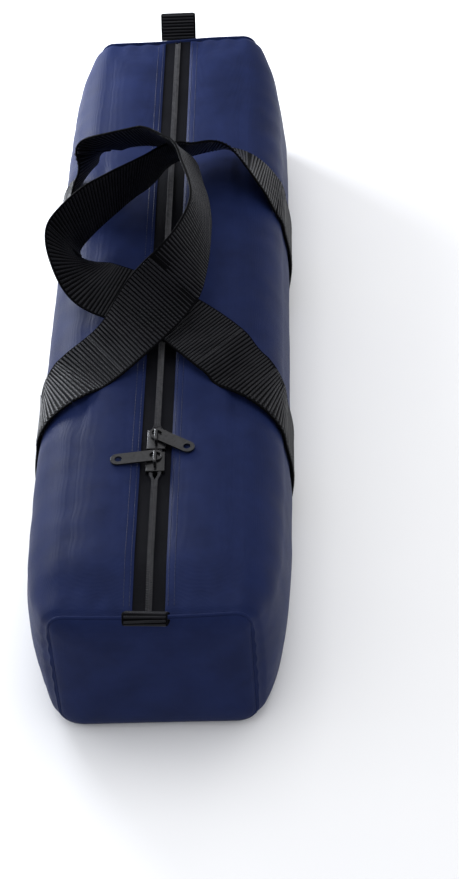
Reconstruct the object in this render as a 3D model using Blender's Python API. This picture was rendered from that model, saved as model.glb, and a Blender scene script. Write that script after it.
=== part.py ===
"""A long padded cloth carry case for a telescope tube, closed by one zip down the middle of its top.

X runs across the case, +Y along it towards its far end, +Z up. The origin is the middle of the base, on the
surface that the case rests on. The cloth is one wrap in use, but the top halves fold back at the two long edges,
so each half is its own set of solids, hinged on its fold line.
"""

import math

import bmesh
import bpy
from mathutils import Vector

# Driving dimensions, in metres.
LENGTH = 0.710
END_HALF_WIDTH = 0.073
MID_HALF_WIDTH = 0.093
TOP_Z = 0.120
GAP = 0.0003

# Layers of the padded wall, from the outside in.
CLOTH = 0.0012
FOAM = 0.008
LINING = 0.0008
FOAM_DEPTH = CLOTH + GAP
LINING_DEPTH = FOAM_DEPTH + FOAM + GAP
BINDING_DEPTH = LINING_DEPTH + LINING + GAP
BINDING_WIDTH = 0.012

# Section of the case.
FOLD_X = 0.060
LOW_RADIUS = 0.016
SIDE_BOW = 0.004
BULGE_POWER = 10
ARC_STEPS = 5
SIDE_STEPS = 3
BASE_STEPS = 4
LENGTH_STEPS = 10

# Webbing.
WEB_WIDTH = 0.054
WEB_THICK = 0.002
HANDLE_THICK = 0.0026
GIRTH_Y = 0.130
GIRTH_LEAN = 0.012
BELLY_Y = 0.094
BELLY_STEP = 0.004
TAB_WIDTH = 0.032
TAB_LENGTH = 0.025
TAB_RISE = math.radians(44)
TAB_BEND = 0.0028

# Zip.
TAPE_THICK = 0.0009
TAPE_OUTER_X = 0.0220
TAPE_SHOWN_X = 0.0133
COIL_WIDTH = 0.0030
COIL_HEIGHT = 0.0022
COIL_MIDDLE = 0.0002
SLIDER_HALF_WIDTH = 0.0072
SLIDER_LENGTH = 0.020
SLIDER_WALL = 0.0013
SLIDER_PLATE = 0.0014
DIVIDER_HALF_WIDTH = 0.0018
NEAR_SLIDER_Y = -0.2065
FAR_SLIDER_Y = -0.1830
CROWN_HALF_SPAN = 0.0060
CROWN_WIDTH = 0.0024
CROWN_HEIGHT = 0.0062
PULL_LENGTH = 0.034
PULL_WIDTH = 0.0110
PULL_THICK = 0.0014
PULL_EYE = 0.0032
PULL_EYE_STRETCH = 0.0014
PULL_HOLE = 0.0028
NEAR_PULL_TURN = math.radians(187)
FAR_PULL_TURN = math.radians(-33)

TAPE_TOP = TOP_Z - FOAM_DEPTH
TAPE_BASE = TAPE_TOP - TAPE_THICK
COIL_BASE = TAPE_TOP + GAP
COIL_TOP = COIL_BASE + COIL_HEIGHT
PLATE_BASE = COIL_TOP + GAP
PLATE_TOP = PLATE_BASE + SLIDER_PLATE

END_Y = LENGTH / 2
CLOTH_END_Y = END_Y - CLOTH - GAP
FOAM_END_Y = CLOTH_END_Y - FOAM - GAP
LINING_END_Y = FOAM_END_Y - LINING - GAP

# Each handle's route over the top: (x, y, z) of the webbing's middle line and the way its width points there.
# It is written for the left handle's own side, from its near root to its far root.
LEFT_HANDLE = (
    ((-0.0590, -0.1180, 0.1222), (0.00, -1.00, 0.00)),
    ((-0.0515, -0.1120, 0.1236), (0.16, -0.96, -0.04)),
    ((-0.0344, -0.0966, 0.1420), (0.56, -0.64, -0.52)),
    ((-0.0077, -0.0639, 0.1530), (0.59, -0.63, -0.51)),
    ((0.0163, -0.0451, 0.1720), (0.51, -0.17, -0.84)),
    ((0.0286, -0.0181, 0.1810), (0.38, 0.32, -0.87)),
    ((0.0327, 0.0142, 0.1860), (0.20, 0.55, -0.81)),
    ((0.0254, 0.0582, 0.1870), (0.17, 0.66, -0.73)),
    ((0.0137, 0.0922, 0.1880), (0.08, 0.73, -0.68)),
    ((-0.0119, 0.1143, 0.1850), (-0.05, 0.63, -0.78)),
    ((-0.0443, 0.1204, 0.1770), (-0.05, 0.62, -0.78)),
    ((-0.0617, 0.1258, 0.1640), (0.07, 0.60, -0.80)),
    ((-0.0650, 0.1214, 0.1460), (0.15, 0.68, -0.72)),
    ((-0.0530, 0.1190, 0.1268), (0.00, 1.00, 0.00)),
    ((-0.0590, 0.1180, 0.1222), (0.00, 1.00, 0.00)),
)
RIGHT_HANDLE = (
    ((0.0590, -0.1180, 0.1222), (0.00, -1.00, 0.00)),
    ((0.0520, -0.1130, 0.1234), (-0.12, -0.98, -0.02)),
    ((0.0426, -0.0757, 0.1280), (-0.37, -0.92, -0.08)),
    ((0.0195, -0.0541, 0.1310), (-0.62, -0.77, -0.19)),
    ((-0.0212, -0.0324, 0.1330), (-0.66, -0.73, -0.21)),
    ((-0.0534, -0.0174, 0.1370), (-0.33, -0.93, -0.15)),
    ((-0.0732, 0.0031, 0.1440), (0.37, -0.35, 0.86)),
    ((-0.0818, 0.0307, 0.1470), (0.47, -0.79, 0.39)),
    ((-0.0657, 0.0484, 0.1580), (0.24, -0.96, 0.13)),
    ((-0.0422, 0.0719, 0.1610), (0.30, -0.87, 0.40)),
    ((-0.0187, 0.1042, 0.1550), (0.25, -0.80, 0.54)),
    ((0.0056, 0.1379, 0.1480), (0.22, -0.75, 0.63)),
    ((0.0289, 0.1475, 0.1480), (0.04, -0.79, 0.61)),
    ((0.0485, 0.1475, 0.1470), (-0.02, -0.80, 0.60)),
    ((0.0528, 0.1220, 0.1268), (-0.00, -1.00, -0.00)),
    ((0.0590, 0.1180, 0.1222), (-0.00, -1.00, -0.00)),
)
HANDLE_STEPS = 3


def clear_scene():
    for item in list(bpy.data.objects):
        bpy.data.objects.remove(item, do_unlink=True)


def make_material(name, color, roughness, metallic=0.0):
    material = bpy.data.materials.new(name)
    material.use_nodes = True
    shader = material.node_tree.nodes["Principled BSDF"]
    shader.inputs["Base Color"].default_value = (*color, 1.0)
    shader.inputs["Roughness"].default_value = roughness
    shader.inputs["Metallic"].default_value = metallic
    return material


def finish_mesh(name, mesh, material, parent=None, smooth_angle=None):
    """Turns a bmesh into a named object with its faces pointing out."""
    bmesh.ops.recalc_face_normals(mesh, faces=mesh.faces)
    data = bpy.data.meshes.new(name)
    mesh.to_mesh(data)
    mesh.free()
    data.materials.append(material)
    if smooth_angle is not None:
        data.shade_smooth()
        data.set_sharp_from_angle(angle=smooth_angle)
    thing = bpy.data.objects.new(name, data)
    bpy.context.scene.collection.objects.link(thing)
    if parent is not None:
        thing.parent = parent
        thing.matrix_parent_inverse.identity()
        data.transform(parent.matrix_world.inverted())
    return thing


def make_axis(name, place):
    """An empty on a joint's axis, which the moving pieces are parented to."""
    empty = bpy.data.objects.new(name, None)
    empty.location = place
    bpy.context.scene.collection.objects.link(empty)
    bpy.context.view_layer.update()
    return empty


def height_over_spread(vert):
    return vert.co.z - abs(vert.co.x)


def loft(rings, parallel=False):
    """A closed mesh through rings of points, with a face on its first and last ring. Where layers lie parallel,
    each four-sided face is split the same way in all of them, so that they keep their gap."""
    mesh = bmesh.new()
    made = [[mesh.verts.new(p) for p in ring] for ring in rings]
    count = len(made[0])
    for here, there in zip(made, made[1:]):
        for i in range(count):
            j = (i + 1) % count
            corners = (here[i], here[j], there[j], there[i])
            if not parallel:
                mesh.faces.new(corners)
                continue
            turn = 0 if height_over_spread(here[i]) > height_over_spread(here[j]) else 1
            a, b, c, d = corners[turn:] + corners[:turn]
            mesh.faces.new((a, b, c))
            mesh.faces.new((a, c, d))
    mesh.faces.new(made[0])
    mesh.faces.new(list(reversed(made[-1])))
    return mesh


def prism(outline, axis, low, high):
    """A flat outline of two-number points pushed from low to high along axis X, Y or Z."""
    order = {"X": lambda p, h: (h, p[0], p[1]), "Y": lambda p, h: (p[0], h, p[1]), "Z": lambda p, h: (p[0], p[1], h)}
    place = order[axis]
    return loft([[place(p, low) for p in outline], [place(p, high) for p in outline]])


def arc(centre, radius, start, end, steps):
    """Points on a round corner, from start to end in degrees."""
    angles = [math.radians(start + (end - start) * i / steps) for i in range(steps + 1)]
    return [(centre[0] + radius * math.cos(a), centre[1] + radius * math.sin(a)) for a in angles]


def bulge(y):
    """How full the case is at y: 1 in its middle and 0 at its end panels."""
    return 1 - min(1.0, abs(2 * y / LENGTH)) ** BULGE_POWER


def half_width(y):
    return END_HALF_WIDTH + (MID_HALF_WIDTH - END_HALF_WIDTH) * bulge(y)


def base_z(y):
    """The base cloth hangs down to the floor, except where a girth strap passes under it."""
    strap = abs(abs(y) - GIRTH_Y) < GIRTH_Y - BELLY_Y
    return WEB_THICK + GAP if strap else 0.0


def half_section(y, depth):
    """Right half of the section at y, at a depth under the cloth's face: shoulder, side, lower corner."""
    half, base = half_width(y), base_z(y)
    shoulder_radius = half - FOLD_X
    shoulder = arc((FOLD_X, TOP_Z - shoulder_radius), shoulder_radius - depth, 90, 0, ARC_STEPS)
    corner_centre = (half - LOW_RADIUS, base + LOW_RADIUS)
    corner = arc(corner_centre, LOW_RADIUS - depth, 0, -90, ARC_STEPS - 1)
    top_of_side, foot_of_side = shoulder[-1], corner[0]
    side = []
    for i in range(1, SIDE_STEPS):
        share = i / SIDE_STEPS
        out = SIDE_BOW * bulge(y) * math.sin(math.pi * share)
        x = top_of_side[0] + (foot_of_side[0] - top_of_side[0]) * share + out
        z = top_of_side[1] + (foot_of_side[1] - top_of_side[1]) * share
        side.append((x, z))
    return shoulder, side, corner


def side_outline(y, depth):
    """Shoulder and side wall, from the fold line down to the lower corner."""
    shoulder, side, corner = half_section(y, depth)
    foot = (corner[0][0], corner[0][1] + GAP)
    return [(shoulder[0][0] + GAP / 2, shoulder[0][1]), *shoulder[1:], *side, foot]


def base_outline(y, depth):
    """The base with both lower corners, from left to right."""
    corner = half_section(y, depth)[2]
    low = corner[-1]
    flat = [(low[0] * (1 - 2 * i / BASE_STEPS), low[1]) for i in range(1, BASE_STEPS)]
    return [(-x, z) for x, z in corner] + [(-x, z) for x, z in flat] + list(reversed(corner))


def inner_outline(y, depth):
    """The whole wall under the top, from the left fold line round the base to the right one."""
    shoulder, side, corner = half_section(y, depth)
    right = [(shoulder[0][0] + GAP / 2, shoulder[0][1]), *shoulder[1:], *side, *corner]
    return [(-x, z) for x, z in right] + list(reversed(right))


def lid_outline(inner_x):
    """A flat half of the top, from its zip edge to its fold line."""

    def outline(y, depth):
        outer_x = FOLD_X - GAP / 2
        return [(inner_x, TOP_Z - depth), ((inner_x + outer_x) / 2, TOP_Z - depth), (outer_x, TOP_Z - depth)]

    return outline


def stations(low, high):
    """Places along the case that every layer shares, so that the layers stay parallel: closer together near the
    ends, at each layer's own end, and where the base steps up over the girth straps."""
    places = {-END_Y * math.cos(math.pi * i / LENGTH_STEPS) for i in range(1, LENGTH_STEPS)}
    for end in (CLOTH_END_Y, FOAM_END_Y, LINING_END_Y, LINING_END_Y - BINDING_WIDTH):
        places |= {-end, end}
    for edge in (BELLY_Y, 2 * GIRTH_Y - BELLY_Y):
        for step in (-BELLY_STEP, BELLY_STEP):
            places |= {-edge + step, edge + step}
    inside = {round(y, 7) for y in places if low + GAP < y < high - GAP}
    return sorted(inside | {low, high})


def wall_sheet(name, outline, low, high, depth, thick, material, mirror=False, parent=None):
    """A sheet of the wall between two depths, lofted along the case."""
    sign = -1 if mirror else 1
    rings = []
    for y in stations(low, high):
        outer = [(sign * x, y, z) for x, z in outline(y, depth)]
        inner = [(sign * x, y, z) for x, z in outline(y, depth + thick)]
        rings.append(outer + list(reversed(inner)))
    return finish_mesh(name, loft(rings, parallel=True), material, parent, math.radians(40))


def end_plate(name, far, outer_y, thick, depth, material):
    """A layer of an end panel, cut to the section's outline."""
    shoulder, side, corner = half_section(END_Y, depth)
    right = [*shoulder, *side, *corner]
    loop = right + [(-x, z) for x, z in reversed(right)]
    low, high = (outer_y - thick, outer_y) if far else (-outer_y, thick - outer_y)
    return finish_mesh(name, prism(loop, "Y", low, high), material)


def girth_strap(name, far, material):
    """Webbing sewn round the case: up from under the base, over both sides to the fold lines."""
    middle = GIRTH_Y if far else -GIRTH_Y
    inward = -1 if far else 1
    rings = []
    for depth in (-GAP, -GAP - WEB_THICK):
        for edge in (-0.5, 0.5):
            line = []
            shoulder, side, corner = half_section(middle, depth)
            rise = len(shoulder) - 1
            for i, (x, z) in enumerate([*shoulder, *side, *corner]):
                lean = GIRTH_LEAN * max(0.0, 1 - i / rise)
                line.append((x, middle + inward * lean + edge * WEB_WIDTH, z))
            first = line[0]
            line[0] = (first[0] + GAP / 2, first[1], first[2])
            rings.append(line + [(-x, y, z) for x, y, z in reversed(line)])
    upper_near, upper_far, lower_near, lower_far = rings
    sections = [list(four) for four in zip(upper_near, upper_far, lower_far, lower_near)]
    return finish_mesh(name, loft(sections), material, None, math.radians(40))


def end_tab(name, far, material):
    """A short folded loop of webbing, sewn into the seam where the zip ends."""
    thick, bend = WEB_THICK, TAB_BEND
    outer = [(0.0, bend + thick)] + arc((TAB_LENGTH - bend - thick, 0), bend + thick, 90, -90, 6) + [(0.0, -bend - thick)]
    inner = [(0.0, -bend)] + arc((TAB_LENGTH - bend - thick, 0), bend, -90, 90, 6) + [(0.0, bend)]
    root = Vector((0, END_Y + GAP + (bend + thick) * math.sin(TAB_RISE), TOP_Z - 0.0065))
    along = Vector((0, math.cos(TAB_RISE), math.sin(TAB_RISE)))
    across = Vector((0, -math.sin(TAB_RISE), math.cos(TAB_RISE)))
    loop = []
    for a, b in outer + inner:
        p = root + along * a + across * b
        loop.append((p.y if far else -p.y, p.z))
    return finish_mesh(name, prism(loop, "X", -TAB_WIDTH / 2, TAB_WIDTH / 2), material, None, math.radians(40))


def smooth_line(points, steps):
    """Catmull-Rom curve through the points, with the same number of steps in each stretch."""
    ends = [points[0] * 2 - points[1], *points, points[-1] * 2 - points[-2]]
    line = []
    for a, b, c, d in zip(ends, ends[1:], ends[2:], ends[3:]):
        for i in range(steps):
            t = i / steps
            line.append(0.5 * (2 * b + (c - a) * t + (2 * a - 5 * b + 4 * c - d) * t**2 + (3 * b - a - 3 * c + d) * t**3))
    line.append(points[-1])
    return line


def handle(name, route, material, parent):
    """A strap of webbing swept along its route, turning as its width direction turns."""
    places = smooth_line([Vector(p) for p, _ in route], HANDLE_STEPS)
    widths = smooth_line([Vector(w) for _, w in route], HANDLE_STEPS)
    rings = []
    for i, (place, width) in enumerate(zip(places, widths)):
        ahead = (places[min(i + 1, len(places) - 1)] - places[max(i - 1, 0)]).normalized()
        across = width.normalized()
        up = across.cross(ahead).normalized()
        half, thick = across * (WEB_WIDTH / 2), up * (HANDLE_THICK / 2)
        rings.append([place + half + thick, place + half - thick, place - half - thick, place - half + thick])
    return finish_mesh(name, loft(rings), material, parent, math.radians(60))


def spread(y):
    """How far a zip half stands off the middle line at y: the sliders' dividers push the halves apart."""
    reach = SLIDER_LENGTH / 2 + 0.001
    low, high = NEAR_SLIDER_Y - reach, FAR_SLIDER_Y + reach
    run = 0.006
    outside = max(low - y, y - high, 0.0)
    return (DIVIDER_HALF_WIDTH + GAP) * max(0.0, 1 - outside / run)


def zip_strip(name, inner_x, outer_x, low_z, high_z, material, mirror, parent):
    """A long strip of one zip half, whose inner edge passes round the sliders' dividers."""
    sign = -1 if mirror else 1
    reach = SLIDER_LENGTH / 2 + 0.001
    breaks = [NEAR_SLIDER_Y - reach - 0.006, NEAR_SLIDER_Y - reach, FAR_SLIDER_Y + reach, FAR_SLIDER_Y + reach + 0.006]
    rings = []
    for y in [-FOAM_END_Y, *breaks, FOAM_END_Y]:
        inner = inner_x + spread(y)
        outer = outer_x if outer_x > SLIDER_HALF_WIDTH else outer_x + spread(y)
        rings.append([(sign * x, y, z) for x, z in ((inner, low_z), (outer, low_z), (outer, high_z), (inner, high_z))])
    return finish_mesh(name, loft(rings), material, parent)


def slider_body(name, middle_y, material, parent):
    """Two plates joined by the divider, with side flanges that close over the coils."""
    half, wall, web = SLIDER_HALF_WIDTH, SLIDER_WALL, DIVIDER_HALF_WIDTH
    flange_z = TAPE_TOP + GAP
    low_plate_top = TAPE_BASE - GAP
    low_plate_base = low_plate_top - SLIDER_WALL
    right = [
        (web, PLATE_BASE),
        (half - wall, PLATE_BASE),
        (half - wall, flange_z),
        (half, flange_z),
        (half, PLATE_TOP - 0.0004),
        (half - 0.0006, PLATE_TOP),
    ]
    foot = [(web, low_plate_top), (half, low_plate_top), (half, low_plate_base)]
    outline = [(-x, z) for x, z in reversed(foot)] + [(-x, z) for x, z in right]
    outline += list(reversed(right)) + foot
    length = SLIDER_LENGTH / 2
    return finish_mesh(name, prism(outline, "Y", middle_y - length, middle_y + length), material, parent)


def slider_crown(name, middle_y, material, parent):
    """The arch on a slider that holds its pull."""
    span, top, bar = CROWN_HALF_SPAN, CROWN_HEIGHT, 0.0015
    leg = 0.0022
    outline = [(-span, 0.0), (-span + leg, 0.0), (-span + leg, top - bar), (span - leg, top - bar), (span - leg, 0.0)]
    outline += [(span, 0.0), (span, top - 0.0010), (span - 0.0012, top), (-span + 0.0012, top), (-span, top - 0.0010)]
    base = PLATE_TOP + GAP
    loop = [(middle_y + y, base + z) for y, z in outline]
    return finish_mesh(name, prism(loop, "X", -CROWN_WIDTH / 2, CROWN_WIDTH / 2), material, parent)


def pull_plate(name, eye_place, turn, material, parent):
    """A flat pull with a long eye at one end, which the crown's far leg stands in, and a round hole at the other."""
    tip = PULL_LENGTH - PULL_WIDTH / 2
    outline = arc((0, 0), PULL_WIDTH / 2, 90, 270, 8) + arc((tip, 0), PULL_WIDTH / 2, -90, 90, 8)
    mesh = prism(outline, "Z", 0.0, PULL_THICK)
    plate = finish_mesh(name, mesh, material)
    eye = arc((PULL_EYE_STRETCH, 0), PULL_EYE, -90, 90, 6) + arc((-PULL_EYE_STRETCH / 2, 0), PULL_EYE, 90, 270, 6)
    hole = arc((tip - 0.0006, 0), PULL_HOLE, 0, 360 - 360 / 14, 13)
    for label, loop in (("eye", eye), ("hole", hole)):
        cutter = finish_mesh(f"{name}_{label}_cutter", prism(loop, "Z", -0.002, PULL_THICK + 0.002), material)
        cutter.hide_render = True
        cutter.display_type = "WIRE"
        cutter.location = (*eye_place, PLATE_TOP + 2 * GAP)
        cutter.rotation_euler = (0, 0, turn)
        cut = plate.modifiers.new(label, "BOOLEAN")
        cut.operation = "DIFFERENCE"
        cut.solver = "EXACT"
        cut.object = cutter
    plate.location = (*eye_place, PLATE_TOP + 2 * GAP)
    plate.rotation_euler = (0, 0, turn)
    bpy.context.view_layer.update()
    if parent is not None:
        world = plate.matrix_world.copy()
        plate.parent = parent
        plate.matrix_parent_inverse = parent.matrix_world.inverted()
        plate.matrix_world = world
    return plate


def build_walls(cloth, foam, lining, tape):
    """Base, sides and end panels, each with its cloth, foam and lining."""
    wall_sheet("base_cloth", base_outline, -CLOTH_END_Y, CLOTH_END_Y, 0.0, CLOTH, cloth)
    wall_sheet("base_foam", base_outline, -FOAM_END_Y, FOAM_END_Y, FOAM_DEPTH, FOAM, foam)
    for label, mirror in (("left", True), ("right", False)):
        wall_sheet(f"{label}_side_cloth", side_outline, -CLOTH_END_Y, CLOTH_END_Y, 0.0, CLOTH, cloth, mirror)
        wall_sheet(f"{label}_side_foam", side_outline, -FOAM_END_Y, FOAM_END_Y, FOAM_DEPTH, FOAM, foam, mirror)
    wall_sheet("body_lining", inner_outline, -LINING_END_Y, LINING_END_Y, LINING_DEPTH, LINING, lining)
    for label, far in (("near", False), ("far", True)):
        end_plate(f"{label}_end_cloth", far, END_Y, CLOTH, 0.0, cloth)
        end_plate(f"{label}_end_foam", far, CLOTH_END_Y, FOAM, FOAM_DEPTH, foam)
        end_plate(f"{label}_end_lining", far, FOAM_END_Y, LINING, FOAM_DEPTH + FOAM, lining)
        low, high = LINING_END_Y - BINDING_WIDTH, LINING_END_Y
        span = (low, high) if far else (-high, -low)
        wall_sheet(f"{label}_seam_binding", inner_outline, *span, BINDING_DEPTH, LINING, tape)


def build_lids(cloth, foam, lining, tape, coil, axes):
    """The two halves of the top, with the zip half that is sewn to each."""
    for label, mirror in (("left", True), ("right", False)):
        axis = axes[label]
        wall_sheet(f"{label}_lid_cloth", lid_outline(TAPE_SHOWN_X), -CLOTH_END_Y, CLOTH_END_Y, 0.0, CLOTH, cloth, mirror, axis)
        wall_sheet(f"{label}_lid_foam", lid_outline(TAPE_OUTER_X + GAP), -FOAM_END_Y, FOAM_END_Y, FOAM_DEPTH, FOAM, foam, mirror, axis)
        wall_sheet(
            f"{label}_lid_lining", lid_outline(TAPE_SHOWN_X), -LINING_END_Y, LINING_END_Y, LINING_DEPTH, LINING, lining, mirror, axis
        )
        zip_strip(f"{label}_zip_tape", COIL_MIDDLE, TAPE_OUTER_X, TAPE_BASE, TAPE_TOP, tape, mirror, axis)
        outer = COIL_MIDDLE + COIL_WIDTH
        zip_strip(f"{label}_zip_coil", COIL_MIDDLE, outer, COIL_BASE, COIL_TOP, coil, mirror, axis)


def build_slider(label, middle_y, turn, metal):
    """A slider, the crown on it and its pull, which lifts about the crown's far leg."""
    body_axis = make_axis(f"{label}_slider_axis", (0, middle_y, PLATE_TOP))
    slider_body(f"{label}_slider_body", middle_y, metal, body_axis)
    slider_crown(f"{label}_slider_crown", middle_y, metal, body_axis)
    eye = (0.0, middle_y + CROWN_HALF_SPAN - 0.0011)
    pull_axis = make_axis(f"{label}_pull_axis", (*eye, PLATE_TOP + 2 * GAP + PULL_THICK / 2))
    pull_plate(f"{label}_pull", eye, turn, metal, pull_axis)


def main():
    clear_scene()
    cloth = make_material("navy_cloth", (0.030, 0.040, 0.115), 0.85)
    foam = make_material("grey_foam", (0.20, 0.20, 0.21), 0.95)
    lining = make_material("black_lining", (0.020, 0.020, 0.024), 0.70)
    webbing = make_material("black_webbing", (0.012, 0.012, 0.013), 0.75)
    tape = make_material("zip_tape", (0.010, 0.010, 0.012), 0.85)
    coil = make_material("zip_coil", (0.060, 0.060, 0.065), 0.35)
    metal = make_material("black_lacquered_zinc", (0.045, 0.045, 0.050), 0.35, 0.8)

    build_walls(cloth, foam, lining, tape)
    axes = {"left": make_axis("left_fold_axis", (-FOLD_X, 0, TOP_Z)), "right": make_axis("right_fold_axis", (FOLD_X, 0, TOP_Z))}
    build_lids(cloth, foam, lining, tape, coil, axes)
    for label, far in (("near", False), ("far", True)):
        girth_strap(f"{label}_girth_strap", far, webbing)
        end_tab(f"{label}_end_tab", far, webbing)
    handle("left_handle", LEFT_HANDLE, webbing, axes["left"])
    handle("right_handle", RIGHT_HANDLE, webbing, axes["right"])
    build_slider("near", NEAR_SLIDER_Y, NEAR_PULL_TURN, metal)
    build_slider("far", FAR_SLIDER_Y, FAR_PULL_TURN, metal)


main()
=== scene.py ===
# %% [markdown]
# # A padded telescope carry case
# A long box of padded navy cloth, zipped down the middle of its top, with black webbing sewn round it
# in two places. The webbing carries on past the top as two limp handles. The lesson builds the cloth
# first, then the webbing, the zip and its metal, and sets the camera and light at the start.

# %% Load the frame and note its size
import math
from functools import partial

import bmesh
import bpy
from mathutils import Matrix, Vector, noise


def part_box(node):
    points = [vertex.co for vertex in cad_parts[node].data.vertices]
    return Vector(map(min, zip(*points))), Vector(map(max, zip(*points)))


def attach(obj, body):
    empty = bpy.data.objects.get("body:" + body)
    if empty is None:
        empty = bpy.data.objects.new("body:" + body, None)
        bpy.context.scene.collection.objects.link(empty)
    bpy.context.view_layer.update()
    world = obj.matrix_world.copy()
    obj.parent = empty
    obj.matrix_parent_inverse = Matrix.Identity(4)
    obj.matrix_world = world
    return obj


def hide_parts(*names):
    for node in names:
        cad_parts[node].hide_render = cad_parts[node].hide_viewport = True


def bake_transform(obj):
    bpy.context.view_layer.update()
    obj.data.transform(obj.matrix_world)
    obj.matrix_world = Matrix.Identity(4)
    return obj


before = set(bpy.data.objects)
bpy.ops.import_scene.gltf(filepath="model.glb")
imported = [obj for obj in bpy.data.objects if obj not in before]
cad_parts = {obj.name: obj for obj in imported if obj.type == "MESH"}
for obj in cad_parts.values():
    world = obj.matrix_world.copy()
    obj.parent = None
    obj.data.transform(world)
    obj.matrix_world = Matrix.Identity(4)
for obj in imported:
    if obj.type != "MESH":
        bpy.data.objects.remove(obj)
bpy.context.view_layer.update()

# %% [markdown]
# ## Sizes of the real thing
# The case stands on its base, Y runs along it and Z up. The numbers below are the maker's own: how wide
# the ends and the middle are, how thick the padded wall is, and where the webbing and the sliders sit.
# The length, height and slider places are read from the frame, so the cloth always fits round it.

# %% Driving sizes
END_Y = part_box("far_end_cloth")[1].y
TOP_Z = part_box("left_lid_cloth")[1].z
END_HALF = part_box("near_end_cloth")[1].x
MID_HALF = 0.0955
FOLD_X = 0.060
LOW_RADIUS = 0.016
SIDE_BOW = 0.004
WALL = 0.0106
WEB_WIDTH = 0.054
WEB_THICK = 0.0020
GIRTH_Y = 0.130
ZIP_EDGE_X = 0.0120
TAPE_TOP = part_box("left_zip_tape")[1].z
COIL_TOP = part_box("left_zip_coil")[1].z
SLIDERS = [sum((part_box(f"{end}_slider_body")[i].y for i in (0, 1))) / 2 for end in ("near", "far")]
print("half length", round(END_Y, 4), "top", round(TOP_Z, 4), "sliders at", [round(y, 4) for y in SLIDERS])

# %% [markdown]
# ## Camera
# The view is from above the near end, looking along the case, with a long lens so that the case hardly
# tapers. The camera is aimed by its own three axes: where it looks, what is up, and a small roll.

# %% Camera
VIEW_PLACE = Vector((0.1317, -1.3381, 1.2480))
VIEW_PITCH, VIEW_YAW, VIEW_ROLL = 0.77239, -0.06624, 0.07500
LENS = 87.78

flat_share = math.cos(VIEW_PITCH)
look = Vector((math.sin(VIEW_YAW) * flat_share, math.cos(VIEW_YAW) * flat_share, -math.sin(VIEW_PITCH)))
level = Vector((math.cos(VIEW_YAW), -math.sin(VIEW_YAW), 0))
over = level.cross(look)
right_axis = level * math.cos(VIEW_ROLL) - over * math.sin(VIEW_ROLL)
up_axis = level * math.sin(VIEW_ROLL) + over * math.cos(VIEW_ROLL)
camera = bpy.data.objects.new("camera", bpy.data.cameras.new("camera"))
bpy.context.scene.collection.objects.link(camera)
camera.data.lens = LENS
camera.data.sensor_width = 36
camera.data.clip_start = 0.05
camera.matrix_world = Matrix.Translation(VIEW_PLACE) @ Matrix((right_axis, up_axis, -look)).transposed().to_4x4()
bpy.context.scene.camera = camera
print("camera looks along", [round(v, 3) for v in look])

# %% [markdown]
# ## Light and floor
# Dark cloth needs broad light. A pale world fills the shadows, a long window on the left rakes the cloth,
# and a small lamp behind the far left corner shows its nap as a soft blue rim along that shoulder.

# %% Floor, world and lights


def soft_light(name, place, aim, size, watts, color=(1, 1, 1)):
    """An area light at a place, turned to shine at a point."""
    lamp = bpy.data.lights.new(name, "AREA")
    lamp.shape = "RECTANGLE"
    lamp.size, lamp.size_y = size
    lamp.energy = watts
    lamp.color = color
    thing = bpy.data.objects.new(name, lamp)
    thing.location = place
    thing.rotation_euler = (Vector(aim) - Vector(place)).to_track_quat("-Z", "Y").to_euler()
    bpy.context.scene.collection.objects.link(thing)


soft_light("left_window", (-1.4, 0.35, 0.55), (0, 0, 0.08), (1.8, 0.7), 10, (0.90, 0.94, 1.0))
soft_light("far_left_rim", (-0.50, 0.62, 0.34), (-0.05, 0.22, 0.12), (0.45, 0.30), 10, (0.90, 0.94, 1.0))
soft_light("right_fill", (1.6, 0.2, 0.9), (0, 0, 0.08), (2.2, 1.0), 2)
soft_light("overhead", (0.1, 0.5, 2.2), (0, 0, 0), (1.6, 1.6), 17)
world = bpy.data.worlds.new("studio")
world.use_nodes = True
world.node_tree.nodes["Background"].inputs["Color"].default_value = (0.97, 0.98, 1.0, 1)
world.node_tree.nodes["Background"].inputs["Strength"].default_value = 0.82
bpy.context.scene.world = world
bpy.context.scene.view_settings.view_transform = "Standard"

floor_mesh = bpy.data.meshes.new("floor")
floor_mesh.from_pydata([(-8, -8, -0.0004), (8, -8, -0.0004), (8, 8, -0.0004), (-8, 8, -0.0004)], [], [(0, 1, 2, 3)])
floor = bpy.data.objects.new("floor", floor_mesh)
bpy.context.scene.collection.objects.link(floor)

# %% [markdown]
# ## Finishes
# Every material is a Principled shader with a little node work in front of it. Fine structure such as a
# weave is a bump made from two crossed waves. Slow noise varies the colour and the roughness, because
# real cloth is never one flat colour. All patterns read Object coordinates, in metres.

# %% Material helpers


def blank_material(name):
    """A new material, its shader and a helper that adds nodes to it."""
    material = bpy.data.materials.new(name)
    material.use_nodes = True
    tree = material.node_tree
    shader = tree.nodes["Principled BSDF"]

    def add(kind, links=(), **settings):
        made = tree.nodes.new(kind)
        for key, value in settings.items():
            if hasattr(made, key):
                setattr(made, key, value)
            else:
                made.inputs[key.replace("_", " ")].default_value = value
        for slot, source in links:
            tree.links.new(source, made.inputs[slot])
        return made

    return material, tree, shader, add


def mottled(add, place, dark, light, scale):
    """A slow noise that shades a colour between two tones."""
    cloud = add("ShaderNodeTexNoise", [("Vector", place)], Scale=scale, Detail=4.0, Roughness=0.6)
    ramp = add("ShaderNodeValToRGB", [("Fac", cloud.outputs["Fac"])])
    ramp.color_ramp.elements[0].position, ramp.color_ramp.elements[1].position = 0.3, 0.7
    ramp.color_ramp.elements[0].color = (*dark, 1)
    ramp.color_ramp.elements[1].color = (*light, 1)
    return ramp.outputs["Color"], cloud.outputs["Fac"]


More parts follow.
